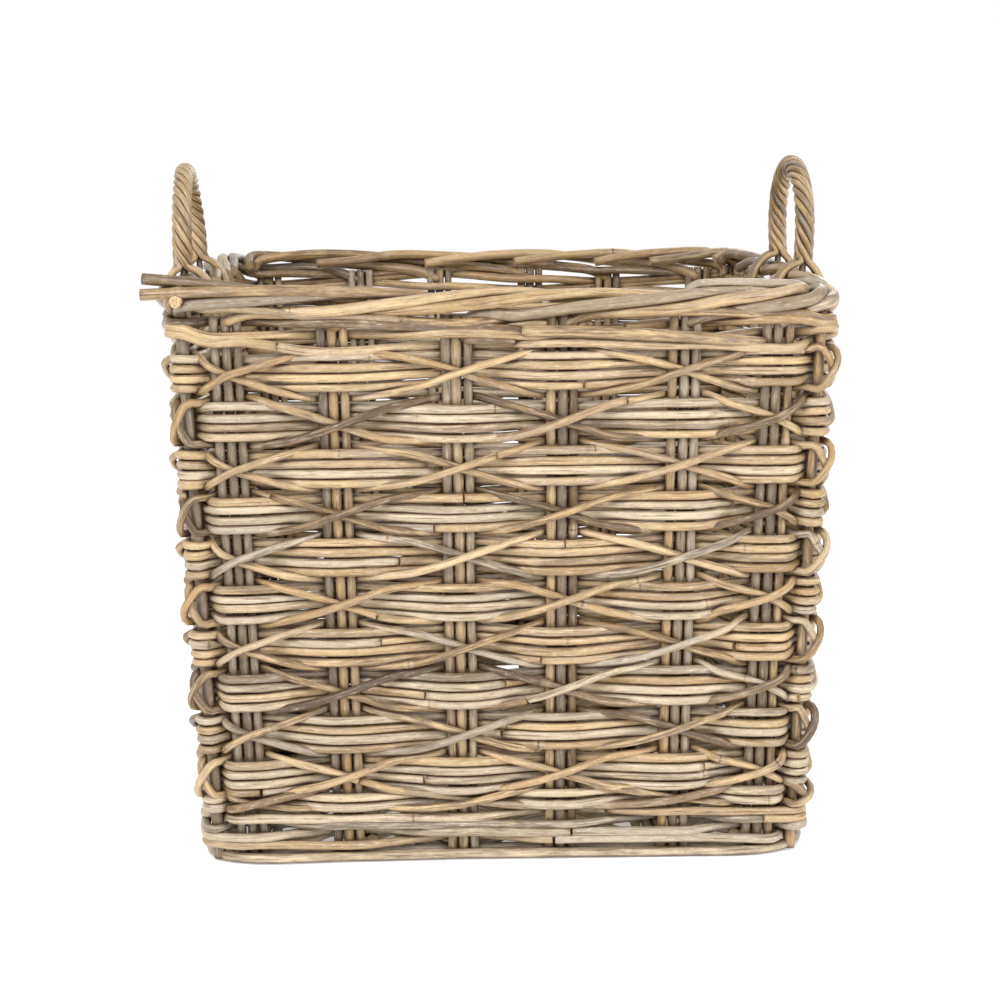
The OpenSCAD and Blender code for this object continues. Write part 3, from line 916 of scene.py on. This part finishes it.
def border(side, material):
    canes = Canes(700 + side)
    rng = canes.rng
    for k in range(STEPS):
        stroke = border_stroke(side * STEPS + k, rng)
        canes.add(stroke, BORDER_R * rng.uniform(*BORDER_SIZE), BORDER_MIX, taper=0.12, sides=BORDER_SIDES,
                  step=BORDER_STEP, spacing=(0.08, 0.2), bark=rng.choice(STAKE_BARK))
    if side == 0:
        loose_ends(canes)
    name = SIDE_NAMES[side]
    canes.piece(f"border_{name}", f"rim_border_{name}", material)


# ---- foot and base ----

FOOT_Z, FOOT_Z_WANDER = 4.6, 0.3        # mm
FOOT_WANDER = 0.5 * MM
BASE_BANDS = 14
BASE_SQUEEZE = 0.96             # the base sticks stand a little closer than the stake groups
BASE_TUCK = 6 * MM              # the ends of the base canes are tucked in among the wale
BASE_STICK_GAP = 0.3 * MM
BASE_FLAT = 14                  # mm: a base cane runs flat this far each side of a group of sticks
BASE_WANDER = 0.3 * MM
BASE_FILL = 0.47                # radius of a base cane in the spacing of the canes


def foot(material):
    """Two thick canes side by side right round the foot."""
    canes = Canes(800)
    rng = canes.rng
    for out in (OVER, -OVER):
        path = []
        for place in range(PLACES):
            shift = rng.normal(0, FOOT_WANDER)
            z = (FOOT_Z + rng.normal(0, FOOT_Z_WANDER)) * MM
            path.append(border_point(place, out + shift, z, FOOT_CORNERS))
        for arc in cut_ring(smooth(path, closed=True), rng, pieces=4):
            canes.add(arc, FOOT_R * rng.uniform(*FOOT_SIZE), LOW_MIX, taper=0.08, sides=12,
                      bark=rng.choice(FOOT_BARK))
    canes.piece("foot_canes", "foot_border", material)


def base_x(k):
    """Place of a group of base sticks."""
    return (k - (GROUPS + 1) / 2) * PITCH_FOOT * BASE_SQUEEZE


def base_sticks(z, stick_r, reach, material):
    sticks = Canes(820)
    for k in range(1, GROUPS + 1):
        for j in (-1, 0, 1):
            x = base_x(k) + j * (2 * stick_r + BASE_STICK_GAP)
            upright(sticks, (x, -reach, z), (x, reach, z), stick_r)
    sticks.piece("base_stick_canes", "base_sticks", material)


def base_weave(z, stick_r, reach, material):
    """Canes over one group of sticks and under the next."""
    weave = Canes(840)
    rng = weave.rng
    rows = ROW_CANES * BASE_BANDS
    gap = 2 * reach / rows
    over = stick_r + gap / 2
    for i in range(rows):
        band = i // ROW_CANES
        y = -reach + (i + 0.5) * gap
        path = [(-reach, y, z)]
        for k in range(1, GROUPS + 1):
            up = 1 if (k + band) % 2 == 0 else -1
            for d in (-BASE_FLAT, BASE_FLAT):
                path.append((base_x(k) + d * MM, y + rng.normal(0, BASE_WANDER), z + up * over))
        path.append((reach, y, z))
        weave.add(smooth(path), gap * BASE_FILL, WEAVER_MIX)
    weave.piece("base_weave_canes", "base_weave", material)


def base(stick_material, weave_material):
    low, high = box("base_sticks")
    stick_r = (high[2] - low[2]) / 2
    z = (high[2] + low[2]) / 2
    reach = high[1] + BASE_TUCK
    base_sticks(z, stick_r, reach, stick_material)
    base_weave(z, stick_r, reach, weave_material)


# ---- handles ----

STRANDS = 6
STRAND_R = 2.65 * MM
BOW_R = 2.6 * MM
ROPE_R = 5.4 * MM               # from the middle of the twist to the middle of a strand
ARCH_R = 61 * MM
TWIST = 58 * MM                 # length of one full turn
TWIST_UP = 6 * MM               # the twist starts this far above the border
OVER_STRAND = 2.5 * MM          # from the middle of the topmost strand to the top of the handle
TAIL_FAN, TAIL_FAN_MORE = 1.4, 0.4      # the strands fan out below the twist, more at each point
BELLY, BELLY_TOP = 0.06, 0.8    # the arch is wider by this share halfway up, and less from here on
ROPE_POINTS, BOW_POINTS = 90, 40
# strands below the twist: outward and up from its foot (mm)
OUT_TAIL = ((8, -5), (13, -14), (14.5, -25), (9.5, -38), (2, -52))
IN_TAIL = ((-11, -4), (-19, -13), (-22.5, -26), (-17, -42), (-9, -58))


class Handle:
    """A twist of six canes bent over one cane, the bow, and set into the wall at both ends."""

    def __init__(self, side, rise, lean, further):
        """rise lifts the top of the arch and further moves it out; lean does so for one leg."""
        self.side = side
        self.x = box("handle_right_bow")[1][0] - BOW_R
        self.further = further
        self.turn = 1 if side == "right" else -1
        self.rise, self.lean = rise, lean
        self.foot = RIM_Z + TWIST_UP
        self.centre_z = HANDLE_Z - ROPE_R - OVER_STRAND - ARCH_R
        self.leg = self.centre_z - self.foot
        self.length = 2 * self.leg + math.pi * ARCH_R

    def rope(self, t):
        """Middle of the twist at a distance along it, and its direction, both in the (y, z) plane."""
        if t < self.leg:
            return (-ARCH_R, self.foot + t), (0, 1)
        if t > self.length - self.leg:
            return (ARCH_R, self.foot + self.length - t), (0, -1)
        a = math.pi - (t - self.leg) / ARCH_R
        y, z = ARCH_R * math.cos(a), self.centre_z + ARCH_R * math.sin(a)
        return (y, z), (math.sin(a), -math.cos(a))

    def strand(self, i, t):
        """Point of strand i at a distance along the twist."""
        (y, z), (dy, dz) = self.rope(t)
        a = math.radians(360 / STRANDS * i) + 2 * math.pi * (t - self.length / 2) / TWIST
        across = ROPE_R * math.sin(a)
        return (self.x + ROPE_R * math.cos(a), y - dz * across, z + dy * across)

    def tail(self, i, t, end):
        """Points of strand i below the twist, outside or inside the wall."""
        x, y, _ = self.strand(i, t)
        fan = y - end * ARCH_R
        tail = OUT_TAIL if x >= self.x else IN_TAIL
        path = []
        for n, (dx, dz) in enumerate(tail):
            y = end * ARCH_R + fan * (TAIL_FAN + TAIL_FAN_MORE * n)
            path.append((self.x + dx * MM, y, self.foot + dz * MM))
        return path

    def placed(self, path):
        """Bends the plain handle to its own shape and turns it to its wall."""
        p = np.array(path)
        up = np.clip((p[:, 2] - self.foot) / (HANDLE_Z - self.foot), 0, 1)
        p[:, 0] += (self.further + self.lean * p[:, 1] / ARCH_R) * up
        p[:, 1] *= 1 + BELLY * np.sin(math.pi * np.clip(up, 0, BELLY_TOP))
        p[:, 2] += self.rise * up ** 2
        return p * (self.turn, self.turn, 1)

    def build(self, twist_material, bow_material):
        canes = Canes(900 + self.turn)
        for i in range(STRANDS):
            rope = [self.strand(i, t) for t in np.linspace(0, self.length, ROPE_POINTS)]
            path = self.tail(i, 0, -1)[::-1] + rope + self.tail(i, self.length, 1)
            canes.add(smooth(self.placed(path)), STRAND_R * canes.rng.uniform(*HANDLE_SIZE), HANDLE_MIX,
                      step=2.5 * MM, spacing=(0.1, 0.25), bark=canes.rng.choice(HANDLE_BARK))
        canes.piece(f"handle_{self.side}_strands", f"handle_{self.side}_twist", twist_material)

        bow = Canes(920 + self.turn)
        low = box("handle_right_bow")[0]
        foot_x = low[0] + BOW_R
        ends = [(foot_x, ARCH_R, low[2]), ((foot_x + self.x) / 2, ARCH_R, (low[2] + self.foot) / 2)]
        arch = [(self.x, *self.rope(t)[0]) for t in np.linspace(0, self.length, BOW_POINTS)]
        path = [(x, -y, z) for x, y, z in ends] + arch + ends[::-1]
        bow.add(smooth(self.placed(path)), BOW_R, STAKE_MIX)
        bow.piece(f"handle_{self.side}_core", f"handle_{self.side}_bow", bow_material)


# ---- building it all ----


def build_basket():
    weaver = cane_material("weaver_cane", scuffs=0.5, dirt=0.5, roughness=0.4)
    cross = cane_material("cross_cane", scuffs=0.45, dirt=0.75, roughness=0.42)
    stake = cane_material("stake_cane", scuffs=0.4, dirt=0.75, roughness=0.48)
    rim = cane_material("border_cane", scuffs=0.35, dirt=0.7, roughness=0.4)
    grip = cane_material("handle_cane", scuffs=0.3, dirt=0.45, roughness=0.38)
    for row in range(1, ROWS + 1):
        weave_row(row, weaver)
        cross_pair(row, cross)
    for side in range(4):
        stakes(side, stake)
        corner_post(side, stake)
        border(side, rim)
    wale("upper_wale_canes", "upper_wale", rise=1.2 * MM, slope=1, corner=1, mix=BORDER_MIX,
         seed=600, material=weaver)
    wale("lower_wale_canes", "lower_wale", rise=0, slope=0.4, corner=0, mix=LOW_MIX,
         seed=610, material=weaver)
    foot(rim)
    base(stake, weaver)
    Handle("left", rise=0, lean=-2.5 * MM, further=3 * MM).build(grip, stake)
    Handle("right", rise=3 * MM, lean=-2.5 * MM, further=0).build(grip, stake)


# ---- studio ----

FLOOR_R = 2.2
FLOOR_SIDES = 64
FLOOR_COLOUR = (0.9, 0.9, 0.9, 1)
FLOOR_GLOW = 0.38
WHITE = (1, 1, 1, 1)
SURROUND = 0.86                 # light from all round; the camera sees plain white
LIGHT_AIM = (0, 0, 0.2)
LIGHT_SIZE = 1.6
# name, place, power, colour
LIGHTS = (
    ("key", (-1.1, -2.2, 1.9), 46, (1, 0.985, 0.965)),
    ("back", (1.0, 2.3, 1.6), 18, (1, 1, 1)),
    ("fill", (1.7, -2.1, 1.3), 33, (1, 0.99, 0.975)),
)
CAMERA_PLACE = (-0.058, -1.780, 0.555)
CAMERA_DOWN, CAMERA_ROLL, CAMERA_YAW = 10.08, 0.4, -2.1     # degrees
SENSOR, LENS = 36, 76.6         # mm


def floor():
    """A round white floor that glows a little, so that it melts into the white behind it."""
    angles = np.arange(FLOOR_SIDES) * 2 * math.pi / FLOOR_SIDES
    points = [(FLOOR_R * math.cos(a), FLOOR_R * math.sin(a), 0.0) for a in angles]
    mesh = bpy.data.meshes.new("floor")
    mesh.from_pydata(points, [], [list(range(FLOOR_SIDES))])
    g = Graph("floor_white")
    g.shader.inputs["Base Color"].default_value = FLOOR_COLOUR
    g.shader.inputs["Roughness"].default_value = 0.9
    g.shader.inputs["Specular IOR Level"].default_value = 0.1
    g.shader.inputs["Emission Color"].default_value = WHITE
    g.shader.inputs["Emission Strength"].default_value = FLOOR_GLOW
    mesh.materials.append(g.material)
    obj = bpy.data.objects.new("floor", mesh)
    bpy.context.scene.collection.objects.link(obj)


def area_light(name, place, power, colour):
    """A round soft light aimed at the basket."""
    data = bpy.data.lights.new(name, "AREA")
    data.shape = "DISK"
    data.size = LIGHT_SIZE
    data.energy = power
    data.color = colour
    obj = bpy.data.objects.new(name, data)
    obj.location = place
    dx, dy, dz = np.array(LIGHT_AIM) - np.array(place)
    obj.rotation_euler = (math.atan2(math.hypot(dx, dy), -dz), 0, math.atan2(-dx, dy))
    bpy.context.scene.collection.objects.link(obj)


def surround():
    """White all round, a little darker as a light than as what the camera sees."""
    world = bpy.data.worlds.new("studio")
    world.use_nodes = True
    nodes, links = world.node_tree.nodes, world.node_tree.links
    strength = nodes.new("ShaderNodeMapRange")
    strength.inputs["To Min"].default_value = SURROUND
    links.new(nodes.new("ShaderNodeLightPath").outputs["Is Camera Ray"], strength.inputs["Value"])
    links.new(strength.outputs[0], nodes["Background"].inputs["Strength"])
    nodes["Background"].inputs["Color"].default_value = WHITE
    bpy.context.scene.world = world


def studio():
    floor()
    surround()
    for light in LIGHTS:
        area_light(*light)


def camera():
    data = bpy.data.cameras.new("camera")
    data.sensor_width = SENSOR
    data.lens = LENS
    obj = bpy.data.objects.new("camera", data)
    obj.location = CAMERA_PLACE
    obj.rotation_euler = (math.radians(90 - CAMERA_DOWN), math.radians(CAMERA_ROLL), math.radians(CAMERA_YAW))
    bpy.context.scene.collection.objects.link(obj)
    bpy.context.scene.camera = obj


build_basket()
studio()
camera()
bpy.context.scene.view_settings.view_transform = "Standard"
